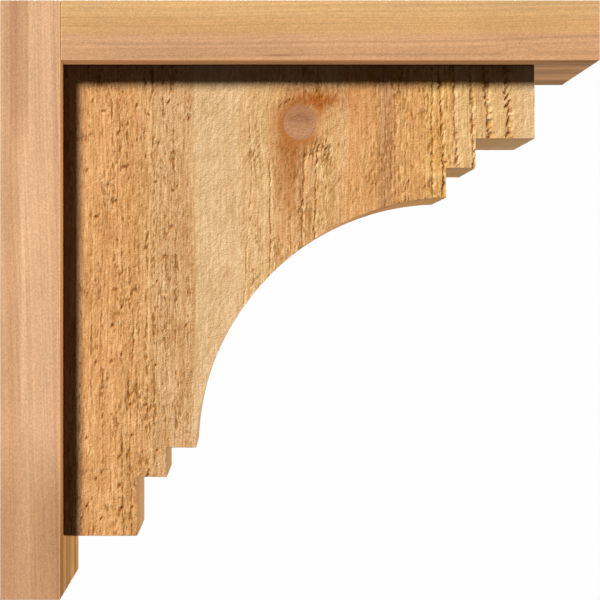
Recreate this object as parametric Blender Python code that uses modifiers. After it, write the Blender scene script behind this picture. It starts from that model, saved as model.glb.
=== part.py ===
"""Wooden corbel bracket: a planed back post and top board carrying a thick rough-sawn brace.

The origin is the middle of the wall face of the back post. +X points away from the wall and +Z up,
and the bracket is symmetric about the plane y = 0. All sizes are in metres.
"""

import math

import bmesh
import bpy
from mathutils import Matrix, Vector

# Planed 2 by 6 boards, which make the back post and the top board.
BOARD_THICKNESS = 0.0381
BOARD_WIDTH = 0.1397
BOARD_ARRIS = 0.0004

# How far the post and the top board run past the brace.
BOARD_OVERHANG = 0.0381

# The rough-sawn brace, a square blank whose outer corner is cut to a moulded edge.
BRACE_LENGTH = 0.3048
BRACE_THICKNESS = 0.09525
BRACE_ARRIS = 0.0005

# The moulded edge reads the same from the post and from the top board:
# an end block, two small steps, and then a cove that turns through nearly a quarter circle.
END_BLOCK_DEPTH = 0.047625
END_BLOCK_RUN = 0.0381
STEP_RISE = 0.01905
STEP_RUN = 0.01905
COVE_SWEEP = math.radians(86)
COVE_FACETS = 48

# Glue line between two pieces that touch.
JOINT_GAP = 0.0003

ARRIS_SEGMENTS = 2
SHARP_EDGE_ANGLE = math.radians(30)
WELD_DISTANCE = 1e-5
FLAT_ANGLE = math.radians(0.01)

PLANED_CEDAR = (0.69, 0.385, 0.19)
PLANED_ROUGHNESS = 0.62
SAWN_CEDAR = (0.67, 0.355, 0.145)
SAWN_ROUGHNESS = 0.85


def clear_scene():
    for old in list(bpy.data.objects):
        bpy.data.objects.remove(old)


def new_collection(name):
    collection = bpy.data.collections.new(name)
    bpy.context.scene.collection.children.link(collection)
    return collection


def make_material(name, colour, roughness):
    material = bpy.data.materials.new(name)
    material.use_nodes = True
    shader = material.node_tree.nodes["Principled BSDF"]
    shader.inputs["Base Color"].default_value = (*colour, 1.0)
    shader.inputs["Roughness"].default_value = roughness
    shader.inputs["Metallic"].default_value = 0.0
    material.diffuse_color = (*colour, 1.0)
    return material


def soften_edges(piece, width):
    """Takes the sharp arris off every long edge and step of a piece."""
    bevel = piece.modifiers.new("arris", "BEVEL")
    bevel.width = width
    bevel.segments = ARRIS_SEGMENTS
    bevel.limit_method = "ANGLE"
    bevel.angle_limit = SHARP_EDGE_ANGLE
    piece.data.shade_smooth()
    piece.data.set_sharp_from_angle(angle=SHARP_EDGE_ANGLE)


def make_board(name, low, high, material, collection):
    """A planed board that fills the box between two opposite corners."""
    low = Vector(low)
    high = Vector(high)
    bm = bmesh.new()
    bmesh.ops.create_cube(bm, size=1.0)
    bmesh.ops.scale(bm, vec=high - low, verts=bm.verts)
    mesh = bpy.data.meshes.new(name)
    bm.to_mesh(mesh)
    bm.free()
    mesh.materials.append(material)
    board = bpy.data.objects.new(name, mesh)
    board.location = (low + high) / 2
    collection.objects.link(board)
    soften_edges(board, BOARD_ARRIS)
    return board


def swapped(corner):
    """A corner of the moulded edge mirrored across the brace's diagonal."""
    return Vector((corner.y, corner.x))


def cove_points(start, end):
    """The points between the two ends of the cove, whose centre lies outside the brace on its diagonal."""
    half_chord = (end - start).length / 2
    radius = half_chord / math.sin(COVE_SWEEP / 2)
    outward = Vector((1.0, 1.0)).normalized()
    centre = (start + end) / 2 + outward * radius * math.cos(COVE_SWEEP / 2)
    spoke = start - centre
    facet = COVE_SWEEP / COVE_FACETS
    return [centre + Matrix.Rotation(-facet * i, 2) @ spoke for i in range(1, COVE_FACETS)]


def brace_outline():
    """The brace's corners seen from the side, as (out from the post, down from the top board)."""
    corner = Vector((BRACE_LENGTH, END_BLOCK_DEPTH))
    upper = [Vector((BRACE_LENGTH, 0.0)), corner]
    for run in (END_BLOCK_RUN, STEP_RUN):
        corner = corner - Vector((run, 0.0))
        upper.append(corner)
        corner = corner + Vector((0.0, STEP_RISE))
        upper.append(corner)
    lower = [swapped(corner) for corner in reversed(upper)]
    return [Vector((0.0, 0.0)), *upper, *cove_points(upper[-1], lower[0]), *lower]


def outline_curve(name, outline, thickness):
    """A flat filled curve of that thickness, lying in its own XY plane."""
    curve = bpy.data.curves.new(name, "CURVE")
    curve.dimensions = "2D"
    curve.fill_mode = "BOTH"
    curve.extrude = thickness / 2
    spline = curve.splines.new("POLY")
    spline.points.add(len(outline) - 1)
    for point, corner in zip(spline.points, outline):
        point.co = (corner.x, -corner.y, 0.0, 1.0)
    spline.use_cyclic_u = True
    return bpy.data.objects.new(name, curve)


def mesh_of_curve(curve_object, name):
    """The curve's mesh with its two faces welded to its sides, each face in one piece."""
    evaluated = curve_object.evaluated_get(bpy.context.evaluated_depsgraph_get())
    mesh = bpy.data.meshes.new_from_object(evaluated)
    mesh.name = name
    bm = bmesh.new()
    bm.from_mesh(mesh)
    bmesh.ops.remove_doubles(bm, verts=bm.verts, dist=WELD_DISTANCE)
    bmesh.ops.recalc_face_normals(bm, faces=bm.faces)
    bmesh.ops.dissolve_limit(bm, angle_limit=FLAT_ANGLE, verts=bm.verts, edges=bm.edges)
    bm.to_mesh(mesh)
    bm.free()
    return mesh


def make_brace(name, inner_corner, material, collection):
    """The brace, cut to its outline and centred on the width of the boards."""
    guide = outline_curve(name + "_outline", brace_outline(), BRACE_THICKNESS)
    collection.objects.link(guide)
    guide.location = inner_corner
    guide.rotation_euler = (math.radians(90), 0.0, 0.0)
    bpy.context.view_layer.update()

    brace = bpy.data.objects.new(name, mesh_of_curve(guide, name))
    brace.matrix_world = guide.matrix_world.copy()
    collection.objects.link(brace)
    bpy.data.objects.remove(guide)
    brace.data.materials.clear()
    brace.data.materials.append(material)
    soften_edges(brace, BRACE_ARRIS)
    return brace


def build():
    clear_scene()
    bracket = new_collection("corbel_bracket")
    planed = make_material("planed_cedar", PLANED_CEDAR, PLANED_ROUGHNESS)
    sawn = make_material("sawn_cedar", SAWN_CEDAR, SAWN_ROUGHNESS)

    length = BOARD_THICKNESS + BRACE_LENGTH + BOARD_OVERHANG
    half_width = BOARD_WIDTH / 2
    top = length / 2
    underside = top - BOARD_THICKNESS
    post_front = BOARD_THICKNESS + JOINT_GAP

    make_board(
        "back_post",
        (0.0, -half_width, top - length),
        (BOARD_THICKNESS, half_width, top),
        planed,
        bracket,
    )
    make_board(
        "top_board",
        (post_front, -half_width, underside),
        (length, half_width, top),
        planed,
        bracket,
    )
    make_brace("brace", (post_front, 0.0, underside - JOINT_GAP), sawn, bracket)


build()
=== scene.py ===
import math

import bpy
import numpy as np
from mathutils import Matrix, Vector
from mathutils.geometry import delaunay_2d_cdt


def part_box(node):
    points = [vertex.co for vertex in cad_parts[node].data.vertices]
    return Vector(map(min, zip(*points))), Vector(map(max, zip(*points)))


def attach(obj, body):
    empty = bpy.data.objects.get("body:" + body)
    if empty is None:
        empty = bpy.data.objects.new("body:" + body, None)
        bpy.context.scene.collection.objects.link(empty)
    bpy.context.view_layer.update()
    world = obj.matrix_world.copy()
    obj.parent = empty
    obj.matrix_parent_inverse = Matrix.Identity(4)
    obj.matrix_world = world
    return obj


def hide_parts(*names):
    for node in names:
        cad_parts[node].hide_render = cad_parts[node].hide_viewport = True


# Wooden corbel bracket in red cedar. The boards keep their solids and take a planed finish.
# The brace is rebuilt as one closed mesh with its sawn, torn surface in relief.
# On the brace's face, s runs away from the post and t down from the top board, both in millimetres.

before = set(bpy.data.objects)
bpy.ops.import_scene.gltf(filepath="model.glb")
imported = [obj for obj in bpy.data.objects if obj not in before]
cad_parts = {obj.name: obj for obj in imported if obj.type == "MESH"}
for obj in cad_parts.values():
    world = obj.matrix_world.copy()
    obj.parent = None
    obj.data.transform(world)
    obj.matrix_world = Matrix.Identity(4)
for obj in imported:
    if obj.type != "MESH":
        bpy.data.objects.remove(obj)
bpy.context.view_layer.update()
MM = 0.001

# Lowest and highest corners of the pieces, in millimetres, and half the width of the boards.
POST_LOW, POST_HIGH = (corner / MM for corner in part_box("back_post"))
BOARD_LOW, BOARD_HIGH = (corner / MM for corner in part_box("top_board"))
BRACE_LOW, BRACE_HIGH = (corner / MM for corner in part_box("brace"))
HALF_WIDTH = POST_HIGH.y

# Outline of the brace, as the solid has it, and the arris that is taken off its edges.
BRACE_LENGTH = 304.8
BRACE_THICKNESS = 95.25
END_BLOCK_DEPTH = 47.625
END_BLOCK_RUN = 38.1
STEP = 19.05
COVE_SWEEP = math.radians(86)
ARRIS = 0.3

# Sizes of the relief mesh's cells, across the grain and along it.
FRONT_CELL = (0.44, 1.27)
BACK_CELL = (1.8, 4.6)
EDGE_CELL = 1.6
SIDE_ROWS = 8
SHARP_ANGLE = math.radians(40)

# Cell of the raster on which the relief is worked out, and how far a small pit reaches on it.
RASTER = (0.3, 0.6)
PIT_REACH = (5, 9)

# How deep the smooth wood lies under the solid's face, and the deepest that the relief may go.
SKIN = 0.42
DEEPEST = 3.2

# How torn the sawn face is at places across the grain.
TORN = (
    (0, 0.7), (12, 0.8), (34, 0.95), (48, 1.1), (83, 0.95), (86, 0.12), (112, 0.14), (116, 0.3),
    (120, 0.35), (121.5, 0.85), (126.5, 0.8), (129, 0.3), (135, 0.35), (138, 0.6), (152, 0.8),
    (165, 0.75), (170, 0.55), (184, 0.5), (200, 0.7), (212, 0.85), (232, 0.95), (236, 1.0),
    (245, 1.0), (248, 0.65), (253, 0.5), (262, 0.35), (268, 0.35), (285, 0.3), (291, 0.12),
    (305, 0.08),
)

# How far apart the growth rings lie at places across the grain.
RING_PITCH = (
    (0, 6.6), (84, 6.6), (90, 11.0), (132, 11.0), (138, 5.0), (180, 5.0), (186, 3.4), (305, 3.0),
)

# Grooves torn out along the grain: place, drift in a length, start, end, width and depth.
# The long ones far from the post run straight through. The others are checks that opened as it dried,
# and they follow the bent grain.
GROOVES = (
    (238.2, 0.006, -20, 330, 0.75, 1.0),
    (243.0, 0.034, -20, 330, 1.1, 1.6),
    (251.8, 0.045, -20, 330, 0.95, 1.25),
    (262.6, 0.045, -20, 330, 0.95, 1.3),
    (272.0, 0.07, -20, 330, 1.4, 1.8),
    (286.0, 0.055, -20, 330, 1.45, 1.8),
    (45.2, 0.0, 160, 197, 0.55, 0.9),
    (42.4, 0.0, 196, 224, 0.6, 0.8),
    (134.4, 0.0, 56, 200, 0.5, 0.75),
    (147.3, 0.0, 90, 200, 0.3, 0.4),
    (154.6, 0.0, 46, 200, 0.6, 0.85),
    (162.6, 0.0, 50, 200, 0.65, 0.95),
    (206.5, 0.0, 20, 62, 0.35, 0.45),
    (125.4, -0.05, 34, 200, 0.45, 0.5),
)
STRAIGHT_FROM = 230

# The larger tufts that were pulled out near the post: place, size across the grain and size along it.
PLUCKED = (
    (39.4, 66.1, 2.2, 1.0), (35.6, 43.9, 0.9, 2.0), (33.2, 88.5, 1.6, 1.1), (70.7, 81.2, 1.5, 0.7),
    (69.6, 104.9, 1.2, 1.1), (25.9, 29.9, 2.0, 0.6), (47.5, 26.1, 0.8, 1.6), (68.0, 24.0, 0.7, 1.6),
    (59.4, 75.8, 1.1, 0.6), (15.1, 68.2, 0.7, 1.3), (21.0, 98.4, 1.2, 1.0), (61.5, 51.0, 0.7, 1.2),
    (33.5, 145.4, 1.5, 1.0), (45.9, 145.7, 1.6, 0.8), (38.3, 156.7, 1.0, 1.2), (31.1, 191.8, 1.0, 1.2),
    (79.3, 168.6, 0.7, 1.3), (60.4, 140.0, 0.7, 1.0), (59.4, 194.5, 0.8, 1.2), (31.3, 168.6, 0.8, 1.6),
    (21.0, 192.3, 0.6, 1.4), (14.9, 241.4, 0.9, 0.8), (36.2, 253.8, 0.9, 1.4), (36.2, 272.2, 1.2, 1.3),
    (44.3, 239.8, 0.9, 1.1), (24.6, 263.5, 0.8, 0.8), (21.0, 267.9, 0.9, 1.0), (14.9, 285.7, 0.9, 0.8),
    (37.2, 287.3, 1.0, 1.5), (44.5, 286.2, 0.9, 1.1), (43.2, 219.8, 0.9, 1.1), (52.9, 220.4, 1.1, 1.0),
    (52.9, 229.0, 0.6, 1.2), (60.5, 249.5, 0.7, 1.0), (24.3, 293.7, 0.7, 1.2),
)

# Marks that the saw left across the grain.
SAW_PITCH = 17.1
SAW_START = 79.6

# Middle of the knot, and how far it reaches across the grain and along it.
KNOT = (153.0, 37.2)
KNOT_RADIUS = (11.0, 11.6)

# Pith of each board, as its depth and its place across the width.
POST_PITH = (-70.0, 12.0)
BOARD_PITH = (290.0, -8.0)

# How strongly a board's wide face takes its painted light and its bands, from the hidden one to the one
# that faces the brace.
POST_LIT = (5.0, 33.0)
BOARD_LIT = (186.0, 158.0)

# The small knot in the top board: out from the wall and up, with its size both ways.
SWIRL = (329.0, 159.0)
SWIRL_SIZE = (13.0, 5.0)

# Fields of the relief that the shader reads, with one more that marks the cut sides. The dark field is
# painted shade in the hollows and the light field a painted highlight on the raised fibres.
FIELDS = ("grain", "torn", "dark", "light", "knot", "halo", "stain", "cut")

# The camera's place, lens and shift, as the photograph's perspective asks.
CAMERA_PLACE = (0.1510, -1.2735, 0.0001)
LENS = 113.7
SHIFT = 0.1037

FLOOR_LEVEL = -1.0
FLOOR_RADIUS = 4.2


def srgb(red, green, blue):
    """A tone as seen on screen, turned into the linear colour that shaders use."""
    channels = [c / 255 for c in (red, green, blue)]
    return tuple(c / 12.92 if c < 0.04045 else ((c + 0.055) / 1.055) ** 2.4 for c in channels)


HONEY = srgb(231, 170, 108)
AMBER = srgb(224, 166, 103)
TAN = srgb(229, 177, 119)
PALE = srgb(232, 191, 141)
STRAW = srgb(233, 189, 133)
GOLD = srgb(232, 186, 124)
WHEAT = srgb(228, 181, 121)
ROSE = srgb(206, 151, 98)
DRAB = srgb(222, 173, 119)
CARAMEL = srgb(227, 170, 105)
BUTTER = srgb(236, 181, 108)
RUST = srgb(186, 119, 62)
EMBER = srgb(180, 96, 24)
CREAM = srgb(220, 169, 124)
PEACH = srgb(228, 178, 133)
DUSK = srgb(211, 158, 115)
CLAY = srgb(205, 154, 108)
SAND = srgb(213, 161, 115)
OCHRE = srgb(215, 164, 107)
OAT = srgb(219, 172, 114)
# Painted shade in the pits, nicks and grooves, and in the knot's rim and cracks.
PAINTED_PIT_SHADE = srgb(167, 99, 6)
PAINTED_CRACK_SHADE = srgb(108, 66, 44)
# Painted highlight on the raised fibres.
PAINTED_FIBRE_HIGHLIGHT = srgb(255, 221, 158)
KNOT_LOW = srgb(188, 132, 91)
KNOT_HIGH = srgb(206, 152, 110)
KNOT_RING = srgb(178, 122, 83)
KNOT_SPECK = srgb(134, 86, 56)
MARK_TONE = srgb(150, 96, 58)

# Tints that multiply a tone: painted light on the wide faces, the strips that show in front of the
# brace, painted light on the arrises, and marks on the post.
POST_WIDE_PAINTED_LIGHT = (1.22, 1.07, 0.64)
BOARD_WIDE_PAINTED_LIGHT = (1.1, 1.09, 1.02)
FRONT_TINT = (0.82, 0.74, 0.62)
ARRIS_PAINTED_LIGHT_TINT = (1.38, 1.44, 1.44)
STREAK_TINT = (1.14, 1.21, 1.27)
DUSK_TINT = (0.82, 0.77, 0.73)
FOOT_TINT = (0.72, 0.66, 0.6)

# Tones across the sawn face.
TONES = (
    (0, HONEY), (34, HONEY), (44, AMBER), (56, TAN), (64, DRAB), (84, DRAB), (87, PALE), (113, PALE),
    (117, STRAW), (135, STRAW), (138, TAN), (163, TAN), (168, GOLD), (180, TAN), (184, HONEY),
    (201, AMBER), (204, ROSE), (211, ROSE), (214, CARAMEL), (230, CARAMEL), (237, BUTTER),
    (250, BUTTER), (254, STRAW), (257, GOLD), (263, GOLD), (266, WHEAT), (286, WHEAT), (305, PALE),
)

# Tones across the edges of the boards, from the wall and from the underside.
POST_TONES = (
    (0.0, CREAM), (2.5, CREAM), (6.6, DUSK), (11.7, CREAM), (17.0, PEACH), (31.5, PEACH),
    (34.5, CREAM), (38.1, CREAM),
)
BOARD_TONES = (
    (152.4, SAND), (156.0, CLAY), (163.0, SAND), (166.5, SAND), (168.7, CLAY), (171.0, OCHRE),
    (178.8, OCHRE), (181.4, OAT), (190.5, OAT),
)


def smoothstep(low, high, value):
    x = np.clip((value - low) / (high - low), 0.0, 1.0)
    return x * x * (3 - 2 * x)


def blob(ds, dt, centre, size):
    """A soft spot of that size, 1 at its centre."""
    return np.exp(-((ds - centre[0]) / size[0]) ** 2 - ((dt - centre[1]) / size[1]) ** 2)


class Surface:
    """The relief of one sawn face on a raster: depth in millimetres and masks for the shader."""

    def __init__(self, seed):
        self.random = np.random.default_rng(seed)
        columns = int(BRACE_LENGTH / RASTER[0]) + 2
        rows = int(BRACE_LENGTH / RASTER[1]) + 2
        self.shape = (rows, columns)
        self.s, self.t = np.meshgrid(np.arange(columns) * RASTER[0], np.arange(rows) * RASTER[1])

    def noise(self, across, along):
        """Smooth noise with spread 1, whose blobs have these sizes in millimetres."""
        rows, columns = self.shape
        white = np.fft.rfft2(self.random.standard_normal(self.shape))
        f_across = np.fft.rfftfreq(columns, RASTER[0])[None, :]
        f_along = np.fft.fftfreq(rows, RASTER[1])[:, None]
        keep = np.exp(-2 * (np.pi * across * f_across) ** 2 - 2 * (np.pi * along * f_along) ** 2)
        field = np.fft.irfft2(white * keep, s=self.shape)
        return (field - field.mean()) / field.std()

    def bent(self, field, places):
        """The field read along each row at other places across the grain."""
        columns = self.shape[1]
        index = np.clip(places / RASTER[0], 0, columns - 1.001)
        left = index.astype(int)
        share = index - left
        low = np.take_along_axis(field, left, axis=1)
        high = np.take_along_axis(field, left + 1, axis=1)
        return low * (1 - share) + high * share

    def sheared(self, field, slant):
        """The field slanted, so that its streaks lean by that much in a length."""
        shift = (self.t * slant / RASTER[0]).astype(int)[:, :1]
        columns = (np.arange(self.shape[1])[None, :] + shift) % self.shape[1]
        return np.take_along_axis(field, columns, axis=1)


def ring_lines(surface, grain):
    """Growth rings, where the wood tears more readily: wide apart at the post, close far from it."""
    total = np.zeros(surface.shape)
    place = 1.5
    while place < BRACE_LENGTH:
        strength = surface.random.uniform(0.45, 1.0)
        pitch = np.interp(place, *zip(*RING_PITCH))
        width = surface.random.uniform(0.12, 0.2) * pitch
        drift = 0.012 * (surface.t - 60) * (1 - smoothstep(78, 92, place))
        total += strength * np.exp(-((grain - place - drift) / width) ** 2)
        place += pitch * surface.random.uniform(0.75, 1.25)
    return total


def jagged(surface, size):
    """How a torn edge wanders along its length: it leans back, then jumps out again."""
    t = surface.t[:, 0]
    wander = np.zeros(len(t))
    start = -surface.random.uniform(0, 5)
    while start < t[-1]:
        length = surface.random.uniform(2.4, 7.5)
        part = (t >= start) & (t < start + length)
        wander[part] = size * surface.random.uniform(0.2, 1.0) * (0.5 - (t[part] - start) / length)
        start += length
    return wander[:, None]


def groove(surface, across, place, drift, start, end, width, depth):
    """A ragged groove, steep on the side towards the post, with fibres lifted on the other. It gives
    its depth, the painted shade on its steep side, and the lifted fibres, which take a painted
    highlight.
    """
    wander = jagged(surface, 1.9 * width) + 0.25 * surface.noise(40, 5)[:, :1]
    swell = np.clip(1.1 + 0.4 * surface.noise(40, 1.3)[:, :1], 0.7, 1.7)
    off = across - (place + drift * surface.t + wander) + 0.3 * width * surface.noise(0.5, 0.7)
    wide = width * swell
    profile = np.exp(-(off / np.where(off < 0, 0.45 * wide, 1.15 * wide)) ** 2)
    reach = smoothstep(start, start + 10, surface.t) * (1 - smoothstep(end - 10, end, surface.t))
    hollow = profile * np.clip(swell, 0.5, 1.2) * reach
    shaded = hollow * (1 - smoothstep(0.2, 1.0, off / wide))
    edge = np.exp(-((off - 1.25 * width) / (0.8 * width)) ** 2) * reach
    lifted = edge * smoothstep(-0.4, 0.8, surface.noise(0.7, 1.5))
    return depth * hollow, shaded, lifted


def pluck(surface, pits, s, t, across, along, lean):
    """Adds one small slanting pit to the others."""
    near_s = slice(max(0, int((s - PIT_REACH[0]) / RASTER[0])), int((s + PIT_REACH[0]) / RASTER[0]))
    near_t = slice(max(0, int((t - PIT_REACH[1]) / RASTER[1])), int((t + PIT_REACH[1]) / RASTER[1]))
    dt = surface.t[near_t, near_s] - t
    ds = surface.s[near_t, near_s] - s + lean * dt
    pit = np.exp(-((ds / across) ** 2 + (dt / along) ** 2) ** 1.5)
    pits[near_t, near_s] = np.maximum(pits[near_t, near_s], pit)


def gouges(surface, count, zone):
    """Small pits here and there, where a tuft of fibres was pulled out."""
    pits = np.zeros(surface.shape)
    for _ in range(count):
        s = surface.random.uniform(*zone)
        t = surface.random.uniform(8, 300)
        across = surface.random.uniform(0.5, 1.5)
        along = surface.random.uniform(0.6, 1.6)
        lean = surface.random.uniform(-0.1, 0.8)
        pluck(surface, pits, s, t, across, along, lean)
    return pits


def around_knot(surface):
    """How far each point is from the knot, in knot radii, with the masks of its halo and stains."""
    ds, dt = surface.s - KNOT[0], surface.t - KNOT[1]
    around = np.sqrt((ds / KNOT_RADIUS[0]) ** 2 + (dt / KNOT_RADIUS[1]) ** 2)
    around += 0.02 * surface.noise(4, 4)
    ragged = 0.09 * surface.noise(2.0, 4.0)
    halo = np.exp(-(np.clip(around + ragged - 1, 0, None) / 0.68) ** 2)
    halo *= 1 - 0.85 * smoothstep(4, 12, ds - 0.25 * dt)

    # The stain runs down from the knot, broad and brown with a redder core.
    below = smoothstep(4, 14, dt) * (1 - smoothstep(12, 86, dt))
    core = np.exp(-((ds + 4.5) / 6.5) ** 4)
    streak = np.exp(-((ds + 7.5 + 0.8 * surface.noise(3, 14)) / 10.0) ** 4)

    # Above the knot it lies in a smear to the right and a thin brow over it.
    spot = blob(ds + 0.8 * surface.noise(3, 2), dt, (10.5, -14.8), (13, 5))
    brow = blob(ds, dt - 0.02 * ds ** 2, (-3.0, -15.0), (8.0, 2.2))
    side = blob(ds, dt, (13.0, -7.0), (5.0, 6.0))
    blot = 1 + 0.3 * surface.noise(1.0, 0.8)
    patch = blob(ds, dt, (-8.0, 15.0), (8.0, 6.0))
    wash = blob(ds, dt, (29.0, -14.0), (17, 13))
    above = blob(ds, dt, (3.0, -20.5), (17, 4))

    stain = (1.3 * spot + 0.75 * brow + 0.4 * side + 0.6 * patch) * blot + 0.35 * wash
    stain += 0.6 * core * below * (1 + 0.45 * surface.noise(0.8, 9))
    stain += np.exp(-((around - 1.12) / 0.14) ** 2) * smoothstep(2, 9, dt - 0.7 * ds)
    halo = np.maximum(halo, np.maximum(0.92 * streak * below, 0.45 * above))
    return ds, dt, around, np.clip(halo, 0, 1), np.clip(stain, 0, 1)


def short_dashes(surface, grain, wild):
    """Short dashes along the grain. They lean where the rings lie flat and where the wood is wild."""
    upright = surface.bent(0.75 * surface.noise(0.34, 1.25) + 0.6 * surface.noise(0.75, 0.8), grain)
    slanted = surface.sheared(surface.noise(0.42, 1.0), 0.6)
    lean = smoothstep(76, 90, grain) * (1 - smoothstep(132, 136, grain))
    lean = np.maximum(lean, 0.5 * smoothstep(166, 172, grain) * (1 - smoothstep(196, 204, grain)))
    lean = np.maximum(lean, np.clip(wild, 0, 1))
    return upright * (1 - lean) + slanted * lean


def saw_marks(surface):
    """Faint broken marks that the saw left right across the face."""
    marks = np.zeros(surface.shape)
    bow = 0.5 * surface.noise(60, 60) + 1.2 * np.sin(surface.s / 60)
    for k in range(-4, 14):
        level = SAW_START + k * SAW_PITCH + surface.random.uniform(-1, 1)
        marks += np.exp(-((surface.t + bow - level) / 0.45) ** 2) * surface.random.uniform(0.3, 1.0)
    return marks * smoothstep(-0.3, 0.9, surface.noise(5, 4))


def all_grooves(surface, grain):
    """Depth of the grooves, the painted shade inside them, and where their fibres stand up and take a
    painted highlight.
    """
    depth, dark, bright = (np.zeros(surface.shape) for _ in range(3))
    for place, *form in GROOVES:
        across = surface.s if place > STRAIGHT_FROM else grain
        carved, shaded, lifted = groove(surface, across, place, *form)
        depth += carved * (1 - 0.35 * lifted) - 0.2 * form[-1] * lifted
        dark = np.maximum(dark, shaded * (1 - 0.6 * lifted))
        bright = np.maximum(bright, lifted)
    return depth, dark, bright


def knot_marks(surface, ds, dt, around, knot):
    """Depth of the knot's rim and cracks, and the painted shade in them."""
    rim = np.exp(-((around - 0.98) / 0.06) ** 2) * smoothstep(-0.6, 1.0, surface.noise(5, 5))
    cracks = blob(ds, dt, (0.0, -1.6), (7.5, 5.0)) * smoothstep(0.0, 1.3, surface.noise(1.5, 0.6))
    split = np.exp(-((ds - 1) / 6.5) ** 4 - ((dt + 1.4 + 0.25 * surface.noise(2, 2)) / 0.5) ** 2)
    cracks = np.clip(cracks + 1.2 * split, 0, 1)
    depth = 0.2 * rim + 0.3 * cracks + 0.03 * knot * surface.noise(0.8, 0.6)
    return depth, np.maximum(0.3 * rim, 0.5 * cracks)


def sawn_face(seed, featured):
    """Depth and masks of a sawn face. Only the featured one has the knot and the deep grooves."""
    surface = Surface(seed)
    t = surface.t
    grain = surface.s + (0.7 * surface.noise(26, 60) + 0.2 * surface.noise(9, 16))
    blank = np.zeros(surface.shape)
    knot, halo, stain, wild, calm = blank, blank, blank, blank, 1.0
    if featured:
        ds, dt, around, halo, stain = around_knot(surface)
        knot = 1 - smoothstep(0.92, 1.03, around)
        calm = smoothstep(0.9, 2.0, around + 0.45 * smoothstep(6, 14, np.abs(dt)))
        grain = grain - 8.5 * np.exp(-(dt / 21) ** 2) * np.tanh(ds / 9) * np.exp(-np.abs(ds) / 24)
        wild = 1.8 * blob(ds, dt, (12, 20), (11, 6)) + 1.2 * blob(ds, dt, (4, -16), (15, 4))

    # How torn the wood is. The band left of the knot is smooth near the top board.
    torn = np.interp(grain, *zip(*TORN)) * calm + 0.55 * wild
    smooth = (1 - smoothstep(26, 44, t)) * smoothstep(112, 118, grain)
    torn *= 1 - 0.7 * smooth * (1 - smoothstep(129, 133, grain))

    # Fibre lines, short dashes in clusters along the rings, and tufts beside the dashes.
    line = surface.bent(0.8 * surface.noise(0.27, 15.0) + 0.6 * surface.noise(0.27, 2.8), grain)
    dash = short_dashes(surface, grain, wild)
    rings = ring_lines(surface, grain)
    near_post = 1 - smoothstep(84, 90, grain)
    clumps = 1 + 0.45 * near_post * surface.noise(3.5, 7.0)
    cluster = 0.5 * surface.noise(2.4, 5.0) + (0.7 + 0.7 * near_post) * rings * clumps
    cluster = (cluster - 0.5 * near_post) * (0.4 + 0.6 * calm)
    pit = smoothstep(0.85, 1.8, dash + cluster) * torn
    # The tufts sit just beside the dashes, on the side the key light falls on, and are raised in relief
    # as well as given a painted highlight.
    beside = np.roll(dash, 3, axis=1) + np.roll(cluster, 3, axis=1)
    tuft = smoothstep(0.95, 1.9, beside) * (1 - pit) * torn
    tear = np.clip(0.6 + 0.4 * cluster, 0.4, 1.0)
    chip = surface.noise(0.5, 0.55)
    depth = 0.55 * pit - 0.24 * tuft + torn * (0.11 * line + 0.08 * tear * dash + 0.08 * chip)

    # Small pits, and the larger ones that show on the featured face.
    deep = gouges(surface, 380, (4, 84)) + gouges(surface, 130, (116, 240))
    deep = deep + gouges(surface, 30, (156, 178))
    deep = deep * np.clip(torn, 0, 1) * smoothstep(-0.7, 0.4, cluster)
    plucked = blank.copy()
    if featured:
        for mark in PLUCKED:
            pluck(surface, plucked, *mark, 0.4)
    depth += 0.7 * deep + 1.3 * plucked

    # Soft fuzz, most of all on the pale band, where it lies in slanting strokes.
    fuzz = 1.15 * surface.noise(0.45, 0.6) + 0.8 * surface.sheared(surface.noise(0.6, 2.2), 0.85)
    depth += (0.025 + 0.045 * np.clip(1 - torn, 0, 1)) * fuzz * (0.35 + 0.65 * calm)
    strokes = surface.sheared(surface.noise(0.9, 4.0), 0.8) * smoothstep(82, 92, grain)
    depth += 0.09 * strokes * (1 - smoothstep(118, 132, grain)) * (1 - smoothstep(25, 75, t))
    depth += 0.1 * surface.noise(5, 22) + 0.08 * rings * calm

    saw = saw_marks(surface) * calm
    depth += 0.18 * saw * (1 - 0.4 * torn)

    cut, bright = blank, blank
    if featured:
        carved, cut, bright = all_grooves(surface, grain)
        knot_depth, knot_dark = knot_marks(surface, ds, dt, around, knot)
        depth += carved + knot_depth
        cut = np.maximum(cut, knot_dark)

    # The dark mask is painted shade in the pits, gouges, grooves, the knot's rim and cracks and the saw
    # marks; the light mask is a painted highlight on the tufts and the grooves' lifted fibres.
    dark = np.clip(0.85 * pit + 0.9 * deep + 1.3 * plucked + cut + 0.25 * saw, 0, 1)
    light = np.clip(0.6 * tuft + 1.4 * bright, 0, 1.3)
    return {
        "depth": np.clip(depth + SKIN, 0.0, DEEPEST), "grain": grain, "dark": dark, "light": light,
        "knot": knot, "halo": halo, "stain": stain, "torn": np.clip(torn * tear, 0, 1),
    }


def sampled(face, name, points):
    """The value of one of a face's fields at some (s, t) points."""
    field = face[name]
    rows, columns = field.shape
    x = np.clip(points[:, 0] / RASTER[0], 0, columns - 1.001)
    y = np.clip(points[:, 1] / RASTER[1], 0, rows - 1.001)
    i, j = x.astype(int), y.astype(int)
    fx, fy = x - i, y - j
    top = field[j, i] * (1 - fx) + field[j, i + 1] * fx
    low = field[j + 1, i] * (1 - fx) + field[j + 1, i + 1] * fx
    return top * (1 - fy) + low * fy


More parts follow.
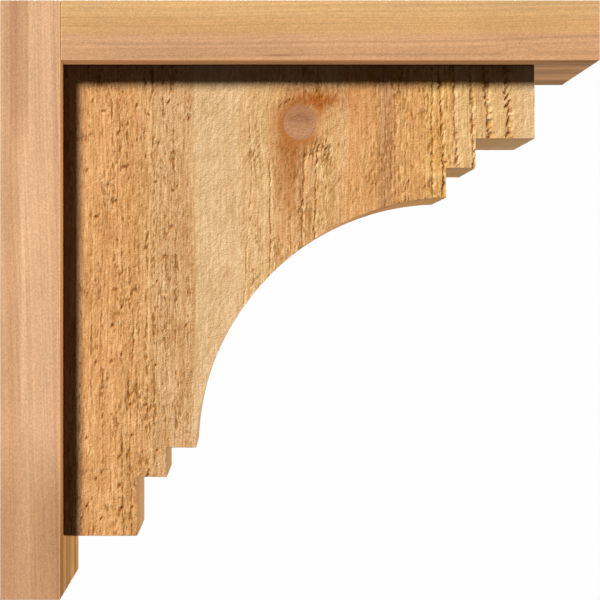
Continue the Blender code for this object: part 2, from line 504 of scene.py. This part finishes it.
def brace_corners():
    """The brace's corners as (s, t), with the cove's arc given as many short runs."""
    corner = np.array((BRACE_LENGTH, END_BLOCK_DEPTH))
    upper = [np.array((BRACE_LENGTH, 0.0)), corner]
    for run in (END_BLOCK_RUN, STEP):
        corner = corner - (run, 0.0)
        upper.append(corner)
        corner = corner + (0.0, STEP)
        upper.append(corner)
    lower = [corner[::-1] for corner in reversed(upper)]
    start, end = upper[-1], lower[0]
    half_chord = np.linalg.norm(end - start) / 2
    radius = half_chord / math.sin(COVE_SWEEP / 2)
    centre = (start + end) / 2 + math.sqrt(0.5) * radius * math.cos(COVE_SWEEP / 2)
    first = math.atan2(*(start - centre)[::-1])
    runs = round(radius * COVE_SWEEP / EDGE_CELL)
    angles = [first - COVE_SWEEP * i / runs for i in range(1, runs)]
    cove = [centre + radius * np.array((math.cos(a), math.sin(a))) for a in angles]
    return np.array([(0.0, 0.0), *upper, *cove, *lower])


def edge_points(corners):
    """Points all round the outline, no further apart than an edge cell."""
    points = []
    for a, b in zip(corners, np.roll(corners, -1, axis=0)):
        pieces = max(1, math.ceil(np.linalg.norm(b - a) / EDGE_CELL - 1e-6))
        points.extend(a + (b - a) * i / pieces for i in range(pieces))
    return np.array(points)


def inward(points):
    """For each point of the outline, the way inwards that moves both edges by one."""
    before = points - np.roll(points, 1, axis=0)
    after = np.roll(points, -1, axis=0) - points
    before /= np.linalg.norm(before, axis=1)[:, None]
    after /= np.linalg.norm(after, axis=1)[:, None]
    left = np.stack((-before[:, 1], before[:, 0]), axis=1)
    right = np.stack((-after[:, 1], after[:, 0]), axis=1)
    middle = left + right
    return middle / (1 + (left * right).sum(axis=1))[:, None]


def inside(points, corners):
    """Which points lie inside the outline."""
    crossed = np.zeros(len(points), bool)
    for a, b in zip(corners, np.roll(corners, -1, axis=0)):
        if a[1] == b[1]:
            continue
        between = (points[:, 1] < a[1]) != (points[:, 1] < b[1])
        at = a[0] + (points[:, 1] - a[1]) * (b[0] - a[0]) / (b[1] - a[1])
        crossed ^= between & (points[:, 0] < at)
    return crossed


def sheet(ring, cell):
    """Points and triangles that fill the ring: its own points first, then a grid inside it."""
    columns = np.arange(cell[0] * 0.5, BRACE_LENGTH, cell[0])
    rows = np.arange(cell[1] * 0.5, BRACE_LENGTH, cell[1])
    s, t = np.meshgrid(columns, rows)
    t = t + (np.arange(len(columns)) % 2)[None, :] * cell[1] / 2
    grid = np.stack((s.ravel(), t.ravel()), axis=1)
    grid = grid[inside(grid, ring)]
    stretch = np.array((1.0, cell[0] / cell[1]))
    keep = np.ones(len(grid), bool)
    for a, b in zip(ring, np.roll(ring, -1, axis=0)):
        near = np.flatnonzero(np.abs(grid[:, 0] - (a[0] + b[0]) / 2) < 2 * EDGE_CELL + cell[0])
        near = near[np.abs(grid[near, 1] - (a[1] + b[1]) / 2) < 2 * EDGE_CELL + cell[1]]
        p, q, span = grid[near] * stretch, a * stretch, (b - a) * stretch
        along = np.clip(((p - q) @ span) / (span @ span), 0, 1)
        gap = np.linalg.norm(p - q - along[:, None] * span, axis=1)
        keep[near[gap < 0.45 * cell[0]]] = False
    points = np.concatenate((ring, grid[keep]))
    loop = [(i, (i + 1) % len(ring)) for i in range(len(ring))]
    flat = [Vector(p) for p in points * stretch]
    out, _, faces, origin, _, _ = delaunay_2d_cdt(flat, loop, [], 1, 1e-6)
    back = [group[0] if group else -1 for group in origin]
    if len(out) != len(points):
        raise ValueError("the sheet's points merged")
    return points, [[back[i] for i in face] for face in faces]


def band_faces(rows, count):
    """Faces between each ring of points and the next, where rows holds the first point of each ring."""
    faces = []
    for a, b in zip(rows, rows[1:]):
        for i in range(count):
            j = (i + 1) % count
            faces.append((a + i, a + j, b + j, b + i))
    return faces


def mesh_piece(name, places, faces, fields):
    """An object with a smooth mesh that carries the fields on its points."""
    mesh = bpy.data.meshes.new(name)
    mesh.from_pydata(places, [], faces)
    for key, values in fields.items():
        attribute = mesh.attributes.new(key, "FLOAT", "POINT")
        attribute.data.foreach_set("value", np.concatenate(values).astype(np.float32))
    mesh.validate()
    mesh.update()
    mesh.shade_smooth()
    mesh.set_sharp_from_angle(angle=SHARP_ANGLE)
    piece = bpy.data.objects.new(name, mesh)
    bpy.context.scene.collection.objects.link(piece)
    return piece


def make_brace(name):
    """The brace as one closed mesh: a relief sheet in front and at the back, and plain cut sides."""
    low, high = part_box("brace")
    middle_y = (low.y + high.y) / 2
    half = BRACE_THICKNESS / 2
    corners = edge_points(brace_corners())
    normal = inward(corners)
    if not inside((corners + 0.01 * normal)[1:2], corners)[0]:
        normal = -normal
    front = sawn_face(11, True)
    back = sawn_face(29, False)

    ring = corners + ARRIS * normal
    count = len(ring)
    front_points, front_faces = sheet(ring, FRONT_CELL)
    back_points, back_faces = sheet(ring, BACK_CELL)
    front_depth = sampled(front, "depth", front_points)
    back_depth = sampled(back, "depth", back_points)
    places, fields = [], {key: [] for key in FIELDS}

    def add(points, y, face, share, cut):
        """Adds points at that depth, with the face's masks weakened to a share."""
        y = np.broadcast_to(y, len(points))
        places.append(np.stack((points[:, 0], y, -points[:, 1]), axis=1))
        for key in FIELDS:
            if key == "cut":
                value = np.full(len(points), cut)
            elif key == "grain":
                value = sampled(face, key, points)
            else:
                value = sampled(face, key, points) * share
            fields[key].append(value)

    # The front, then rings of points down the cut sides, then the back.
    add(front_points, -half + front_depth, front, 1.0, 0.0)
    rim = front_depth[:count]
    rng = np.random.default_rng(5)
    for row in range(SIDE_ROWS + 1):
        down = row / SIDE_ROWS
        y = -half + ARRIS + down * (2 * half - 2 * ARRIS)
        wear = 0.12 * rng.random(count)
        if row == 0:
            y = y + rim
            wear = wear + 0.12 * rim
        if row == SIDE_ROWS:
            y = y - back_depth[:count]
        add(corners + wear[:, None] * normal, y, front if down < 0.5 else back, 0.0, 1.0)
    add(back_points, half - back_depth, back, 0.8, 0.0)

    side_start = len(front_points)
    back_start = side_start + (SIDE_ROWS + 1) * count
    rows = [0] + [side_start + row * count for row in range(SIDE_ROWS + 1)] + [back_start]
    faces = [face[::-1] for face in front_faces] + band_faces(rows, count)
    faces.extend([back_start + i for i in face] for face in back_faces)

    places = np.concatenate(places) * MM
    places += (low.x, middle_y, high.z)
    return mesh_piece(name, places, faces, fields)


class Wood:
    """A node material, with short calls for the nodes it is made of."""

    def __init__(self, name):
        self.material = bpy.data.materials.new(name)
        self.material.use_nodes = True
        self.tree = self.material.node_tree
        self.shader = self.tree.nodes["Principled BSDF"]
        self.shader.inputs["Specular IOR Level"].default_value = 0.25

    def node(self, kind, inputs, **settings):
        node = self.tree.nodes.new(kind)
        for name, value in settings.items():
            setattr(node, name, value)
        for key, value in inputs.items():
            if isinstance(value, bpy.types.NodeSocket):
                self.tree.links.new(value, node.inputs[key])
            else:
                node.inputs[key].default_value = value
        return node

    def feed(self, name, value):
        self.tree.links.new(value, self.shader.inputs[name])

    def math(self, operation, a, b=0.0):
        return self.node("ShaderNodeMath", {0: a, 1: b}, operation=operation).outputs[0]

    def times(self, first, *others):
        for other in others:
            first = self.math("MULTIPLY", first, other)
        return first

    def vector(self, x, y, z):
        return self.node("ShaderNodeCombineXYZ", {0: x, 1: y, 2: z}).outputs[0]

    def length(self, a, b):
        inputs = {0: self.vector(a, b, 0.0)}
        return self.node("ShaderNodeVectorMath", inputs, operation="LENGTH").outputs["Value"]

    def place(self):
        """Where the point is on the object, in millimetres, as three sockets."""
        at = self.node("ShaderNodeTexCoord", {}).outputs["Object"]
        scaled = self.node("ShaderNodeVectorMath", {0: at, "Scale": 1 / MM}, operation="SCALE")
        return self.node("ShaderNodeSeparateXYZ", {0: scaled.outputs[0]}).outputs

    def noise(self, a, b, c, detail, roughness):
        """Noise in three directions, each a place with the size wanted there, or a number."""
        at = [self.math("DIVIDE", *value) if isinstance(value, tuple) else value for value in (a, b, c)]
        inputs = {"Vector": self.vector(*at), "Scale": 1.0, "Detail": detail, "Roughness": roughness}
        return self.node("ShaderNodeTexNoise", inputs).outputs[0]

    def step(self, value, low, high, to_low=0.0, to_high=1.0):
        """Eases from one value to the other as the input goes from low to high."""
        inputs = {0: value, 1: low, 2: high, 3: to_low, 4: to_high}
        return self.node("ShaderNodeMapRange", inputs, interpolation_type="SMOOTHSTEP").outputs[0]

    def vary(self, noise, to_low, to_high):
        """Noise turned into a factor between two values."""
        return self.step(noise, 0.3, 0.7, to_low, to_high)

    def band(self, value, centre, low, high):
        """Steps from 0 to 1 as the distance from a centre goes from low to high."""
        return self.step(self.math("ABSOLUTE", self.math("SUBTRACT", value, centre)), low, high)

    def mix(self, share, a, b, blend="MIX"):
        a = a if isinstance(a, bpy.types.NodeSocket) else (*a, 1.0)
        b = b if isinstance(b, bpy.types.NodeSocket) else (*b, 1.0)
        node = self.node("ShaderNodeMix", {0: share, 6: a, 7: b}, data_type="RGBA", blend_type=blend)
        return node.outputs[2]

    def blend(self, share, a, b):
        """A mix of two plain values."""
        return self.node("ShaderNodeMix", {0: share, 2: a, 3: b}).outputs[0]

    def ramp(self, value, stops, length):
        """Tones at places along a length."""
        node = self.node("ShaderNodeValToRGB", {0: self.math("DIVIDE", value, length)})
        elements = node.color_ramp.elements
        for i, (place, tone) in enumerate(stops):
            element = elements[i] if i < 2 else elements.new(place / length)
            element.position = place / length
            element.color = (*tone, 1.0)
        return node.outputs[0]

    def attribute(self, name):
        return self.node("ShaderNodeAttribute", {}, attribute_name=name).outputs["Fac"]

    def bump(self, height, distance):
        bump = self.node("ShaderNodeBump", {"Height": height, "Distance": distance * MM})
        self.feed("Normal", bump.outputs[0])


def sawn_wood():
    """Rough-sawn cedar for the brace, read from the relief's own fields."""
    wood = Wood("sawn_cedar_torn")
    x, y, z = wood.place()
    grain, torn, dark, light, knot, halo, stain, cut = (wood.attribute(name) for name in FIELDS)

    # Tone across the face, and down the cut sides with a slant that the rings give it.
    slant = wood.times(wood.math("ADD", y, BRACE_THICKNESS / 2), 0.12)
    shifted = wood.math("ADD", grain, wood.times(slant, cut))
    colour = wood.ramp(shifted, TONES, BRACE_LENGTH)

    # Fine fibres, streaks and slow changes of tone along the grain.
    fibre = wood.noise((grain, 0.55), (y, 3.0), (z, 13.0), 3.0, 0.6)
    streak = wood.noise((grain, 2.2), (y, 9.0), (z, 70.0), 2.0, 0.5)
    cloud = wood.noise((grain, 22.0), (y, 22.0), (z, 45.0), 2.0, 0.5)
    patch = wood.noise((grain, 2.6), (y, 9.0), (z, 7.0), 3.0, 0.6)
    speck = wood.noise((x, 1.1), (y, 1.1), (z, 1.1), 2.0, 0.6)
    fleck = wood.times(
        wood.vary(fibre, 0.86, 1.12),
        wood.vary(streak, 0.92, 1.07),
        wood.vary(patch, 0.88, 1.1),
    )
    fleck = wood.times(
        wood.math("SUBTRACT", fleck, 1.0),
        wood.step(torn, 0.0, 0.5, 0.5, 1.0),
        wood.step(halo, 0.2, 1.0, 1.0, 0.6),
    )
    face_tone = wood.times(
        wood.math("ADD", fleck, 1.0),
        wood.vary(speck, 0.91, 1.08),
        wood.vary(cloud, 0.94, 1.05),
    )

    # Rings and hair lines on the cut sides. Darker wood is also redder.
    ring = wood.noise((y, 3.4), (x, 160.0), (z, 160.0), 3.0, 0.6)
    hair = wood.noise((y, 0.7), (x, 14.0), (z, 14.0), 2.0, 0.5)
    side_tone = wood.times(wood.vary(ring, 0.78, 1.06), wood.vary(hair, 0.93, 1.06))
    tone = wood.blend(cut, face_tone, side_tone)
    green = wood.times(wood.math("POWER", tone, 1.5), wood.step(cut, 0.0, 1.0, 1.0, 0.95))
    blue = wood.times(wood.math("POWER", tone, 2.3), wood.step(cut, 0.0, 1.0, 1.0, 0.87))
    colour = wood.mix(1.0, colour, wood.vector(tone, green, blue), "MULTIPLY")

    # The knot with its orange halo and the stain that runs down from it.
    colour = wood.mix(wood.times(stain, 0.92), colour, EMBER)
    colour = wood.mix(wood.times(halo, 0.9), colour, RUST)
    across = wood.math("SUBTRACT", x, KNOT[0] + BRACE_LOW.x)
    down = wood.math("SUBTRACT", BRACE_HIGH.z - KNOT[1], z)
    rings = wood.noise((wood.length(across, down), 1.1), (across, 14.0), (down, 14.0), 2.0, 0.6)
    specks = wood.noise((across, 3.0), (down, 0.8), 0.0, 2.0, 0.5)
    heart = wood.mix(wood.step(down, -9.0, 9.0), KNOT_LOW, KNOT_HIGH)
    heart = wood.mix(wood.vary(rings, 0.0, 0.5), heart, KNOT_RING)
    heart = wood.mix(wood.step(specks, 0.5, 0.7, 0.0, 0.4), heart, KNOT_SPECK)
    colour = wood.mix(wood.times(knot, 0.92), colour, heart)

    # Painted shade in torn hollows and a painted highlight on lifted fibres, the larger ones read from
    # the relief and the finest as nicks.
    chips = wood.noise((grain, 0.75), (y, 3.0), (z, 2.6), 2.0, 0.55)
    nick_with_painted_shade = wood.times(wood.step(chips, 0.56, 0.7), torn)
    plain = wood.step(wood.math("ADD", stain, halo), 0.0, 1.2, 1.0, 0.3)
    painted_hair_highlight = wood.times(wood.step(chips, 0.44, 0.3), torn, plain)
    painted_hollow_shade = wood.mix(knot, PAINTED_PIT_SHADE, PAINTED_CRACK_SHADE)
    colour = wood.mix(wood.times(nick_with_painted_shade, 0.4), colour, PAINTED_PIT_SHADE)
    colour = wood.mix(wood.times(painted_hair_highlight, 0.45), colour, PAINTED_FIBRE_HIGHLIGHT)
    colour = wood.mix(wood.times(dark, 0.75), colour, painted_hollow_shade)
    colour = wood.mix(wood.times(light, plain, 0.6), colour, PAINTED_FIBRE_HIGHLIGHT)
    wood.feed("Base Color", colour)

    lines = wood.times(wood.noise((grain, 0.8), (y, 4.0), (z, 9.0), 2.0, 0.6), torn)
    grit = wood.noise((x, 0.9), (y, 0.9), (z, 0.9), 2.0, 0.5)
    face_height = wood.math("ADD", wood.times(lines, 0.7), wood.times(grit, 0.55))
    face_height = wood.math("SUBTRACT", face_height, wood.times(nick_with_painted_shade, 0.3))
    side_height = wood.times(wood.math("ADD", hair, wood.times(ring, 0.5)), 0.25)
    wood.bump(wood.blend(cut, face_height, side_height), 1.1)
    wood.feed("Roughness", wood.vary(fibre, 0.8, 0.92))
    return wood.material


def planed_wood(name, upright, pith, tones, lit_depths, seed, wide_painted_light):
    """Planed cedar. The rings lie round a pith beside the board, so the ends show their arcs.
    The wide faces take a warmer, brighter tint as painted light, most of all the one that faces the
    brace."""
    wood = Wood(name)
    x, y, z = wood.place()
    deep, run = (x, z) if upright else (z, x)
    start, stop = (POST_LOW.z, POST_HIGH.z) if upright else (BOARD_LOW.x, BOARD_HIGH.x)

    bend = wood.noise((deep, 45.0), (y, 45.0), (run, 260.0), 1.0, 0.5)
    bend = wood.times(wood.math("SUBTRACT", bend, 0.5), 9.0)
    side = wood.math("SUBTRACT", y, pith[1])
    reach = wood.length(wood.math("SUBTRACT", deep, pith[0]), side)
    reach = wood.math("ADD", wood.math("ADD", reach, bend), wood.times(run, 0.012))
    if not upright:
        reach = wood.math("ADD", reach, swirl(wood, x, z))
    place = wood.math("ADD", deep, wood.times(bend, 0.2))
    first, last = tones[0][0], tones[-1][0]
    stops = [(at - first, tone) for at, tone in tones]
    colour = wood.ramp(wood.math("SUBTRACT", place, first), stops, last - first)

    # Masks of the ends, of the wide faces, and of the strips that show in front of the brace.
    edge = wood.math("ABSOLUTE", y)
    half = (stop - start) / 2
    end = wood.band(run, (start + stop) / 2, half - 0.2, half - 0.05)
    inner = wood.step(edge, HALF_WIDTH - 0.05, HALF_WIDTH - 2.85)
    lit = wood.step(deep, *lit_depths, 0.4, 1.0)
    wide = wood.times(inner, lit, wood.math("SUBTRACT", 1.0, end))
    front = wood.times(wide, wood.step(y, -46.0, -58.0))
    if upright:
        front = wood.times(front, wood.step(run, -115.0, -150.0))

    # Growth rings, fibres and slow changes of tone, with broad bands on the wide faces.
    lines = wood.noise((reach, 1.4), (run, 700.0), seed, 4.0, 0.65)
    late = wood.noise((reach, 2.6), (run, 300.0), 7.0 + seed, 1.0, 0.4)
    fibre = wood.noise((reach, 0.5), (side, 5.0), (run, 12.0), 2.0, 0.6)
    mottle = wood.noise((deep, 0.8), (y, 0.8), (run, 1.1), 2.0, 0.6)
    cloud = wood.noise((deep, 30.0), (y, 40.0), (run, 70.0), 2.0, 0.5)
    bands = wood.noise((y, 19.0), seed, (run, 500.0), 4.0, 0.6)
    arcs = wood.noise((reach, 1.5), seed, 2.0, 2.0, 0.5)
    banded = wood.math("SUBTRACT", wood.step(bands, 0.4, 0.6, 0.74, 1.26), 1.0)
    tone = wood.times(
        wood.step(lines, 0.32, 0.68, 0.88, 1.09),
        wood.step(late, 0.6, 0.72, 1.0, 0.92),
        wood.vary(fibre, 0.95, 1.04),
        wood.vary(mottle, 0.87, 1.13),
        wood.vary(cloud, 0.95, 1.05),
        wood.math("ADD", wood.times(banded, wide), 1.0),
    )
    colour = wood.mix(1.0, colour, wood.vector(tone, tone, tone), "MULTIPLY")
    # Painted light: the wide faces are warmed and brightened, most of all those that face the brace.
    colour = wood.mix(wide, colour, wide_painted_light, "MULTIPLY")
    arcs = wood.step(arcs, 0.35, 0.65, 0.62, 0.95)
    colour = wood.mix(end, colour, wood.vector(arcs, arcs, arcs), "MULTIPLY")
    colour = wood.mix(front, colour, FRONT_TINT, "MULTIPLY")

    # Painted light on the arris all along the post, and at the board's end that meets it, so that the
    # shade in the joint's groove hardly shows.
    if upright:
        near_joint = wood.step(deep, POST_HIGH.x - 0.8, POST_HIGH.x - 0.4)
    else:
        near_joint = wood.step(run, start + 0.8, start + 0.5)
    arris = wood.times(near_joint, wood.step(edge, HALF_WIDTH - 0.65, HALF_WIDTH - 0.35))
    colour = wood.mix(arris, colour, ARRIS_PAINTED_LIGHT_TINT, "MULTIPLY")
    if upright:
        colour = post_marks(wood, colour, place, edge, run)
    else:
        mark = wood.times(wood.band(place, 155.6, 0.9, 0.2), wood.band(x, 177.5, 9.0, 3.0), 0.6)
        colour = wood.mix(mark, colour, MARK_TONE)
    wood.feed("Base Color", colour)
    wood.bump(wood.math("ADD", fibre, wood.times(lines, 0.8)), 0.05)
    wood.feed("Roughness", wood.vary(lines, 0.66, 0.56))
    return wood.material


def swirl(wood, x, z):
    """Rings pushed aside by a small knot that lies just under the board's face."""
    across = wood.math("DIVIDE", wood.math("SUBTRACT", x, SWIRL[0]), SWIRL_SIZE[0])
    up = wood.math("DIVIDE", wood.math("SUBTRACT", z, SWIRL[1]), SWIRL_SIZE[1])
    return wood.times(wood.step(wood.length(across, up), 1.3, 0.0), 5.0)


def post_marks(wood, colour, place, edge, run):
    """A pale streak at middle height, a dusky band above it and a darker foot."""
    streak = wood.times(wood.band(place, 14.5, 2.2, 0.3), wood.band(run, 8.0, 105.0, 55.0))
    colour = wood.mix(streak, colour, STREAK_TINT, "MULTIPLY")
    dusk = wood.times(wood.band(place, 12.5, 6.5, 4.5), wood.step(run, 85.0, 125.0))
    colour = wood.mix(dusk, colour, DUSK_TINT, "MULTIPLY")
    foot = wood.times(
        wood.step(run, -75.0, -135.0),
        wood.step(edge, HALF_WIDTH - 2.85, HALF_WIDTH - 0.05),
        wood.step(place, 15.0, 24.0, 0.45, 1.0),
    )
    return wood.mix(foot, colour, FOOT_TINT, "MULTIPLY")


def make_sun(name, travel, strength, spread, bounces, only=None):
    """A soft distant light that shines the way it is told, if wanted on a few pieces only."""
    light = bpy.data.lights.new(name, "SUN")
    light.energy = strength
    light.angle = math.radians(spread)
    light.cycles.max_bounces = bounces
    lamp = bpy.data.objects.new(name, light)
    lamp.rotation_euler = Vector(travel).to_track_quat("-Z", "Y").to_euler()
    bpy.context.scene.collection.objects.link(lamp)
    if only:
        group = bpy.data.collections.new(name + "_group")
        for piece in only:
            group.objects.link(piece)
        lamp.light_linking.receiver_collection = group


def make_world():
    """White behind the bracket, and only a faint light from all round it."""
    world = bpy.data.worlds.new("studio")
    world.use_nodes = True
    nodes, links = world.node_tree.nodes, world.node_tree.links
    nodes.clear()
    seen = nodes.new("ShaderNodeLightPath")
    faint = nodes.new("ShaderNodeBackground")
    faint.inputs["Color"].default_value = (1.0, 0.9, 0.86, 1.0)
    faint.inputs["Strength"].default_value = 0.06
    white = nodes.new("ShaderNodeBackground")
    white.inputs["Color"].default_value = (0.99, 0.99, 0.99, 1.0)
    mixed = nodes.new("ShaderNodeMixShader")
    out = nodes.new("ShaderNodeOutputWorld")
    links.new(seen.outputs["Is Camera Ray"], mixed.inputs[0])
    links.new(faint.outputs[0], mixed.inputs[1])
    links.new(white.outputs[0], mixed.inputs[2])
    links.new(mixed.outputs[0], out.inputs["Surface"])
    bpy.context.scene.world = world


def make_floor():
    """A plain pale floor, far enough below the bracket to stay out of the picture."""
    bpy.ops.mesh.primitive_circle_add(
        vertices=96, radius=FLOOR_RADIUS, fill_type="NGON", location=(0.15, 0.0, FLOOR_LEVEL)
    )
    floor = bpy.context.object
    floor.name = "floor"
    material = bpy.data.materials.new("floor_pale")
    material.use_nodes = True
    shader = material.node_tree.nodes["Principled BSDF"]
    shader.inputs["Base Color"].default_value = (0.86, 0.86, 0.85, 1.0)
    shader.inputs["Roughness"].default_value = 0.9
    floor.data.materials.append(material)
    floor.visible_shadow = False
    floor.visible_diffuse = False
    floor.visible_glossy = False


def make_camera():
    data = bpy.data.cameras.new("camera")
    data.sensor_width = 36.0
    data.lens = LENS
    data.shift_x = SHIFT
    data.clip_start = 0.05
    data.clip_end = 50.0
    camera = bpy.data.objects.new("camera", data)
    camera.location = CAMERA_PLACE
    camera.rotation_euler = (math.radians(90), 0.0, 0.0)
    bpy.context.scene.collection.objects.link(camera)
    bpy.context.scene.camera = camera


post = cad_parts["back_post"]
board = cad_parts["top_board"]
brace = make_brace("sawn_brace")
brace.data.materials.append(sawn_wood())
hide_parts("brace")
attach(brace, "root")
post.material_slots[0].material = planed_wood(
    "planed_cedar_post", True, POST_PITH, POST_TONES, POST_LIT, 3.1, POST_WIDE_PAINTED_LIGHT
)
board.material_slots[0].material = planed_wood(
    "planed_cedar_board", False, BOARD_PITH, BOARD_TONES, BOARD_LIT, 8.6, BOARD_WIDE_PAINTED_LIGHT
)

make_camera()
make_floor()
make_world()
make_sun("key", (0.4375, 0.875, -0.554), 3.9, 13, 1)
make_sun("boards_fill", (-0.78, 0.0, 0.75), 2.2, 6, 0, [post, board])
make_sun("brace_fill", (-0.74, -0.5, 0.47), 3.0, 14, 0, [brace])
make_sun("back", (0.1, -0.9, -0.42), 2.2, 20, 1)
make_sun("boards_back", (0.1, -0.9, -0.42), 1.6, 20, 0, [post, board])
bpy.context.scene.view_settings.view_transform = "Standard"
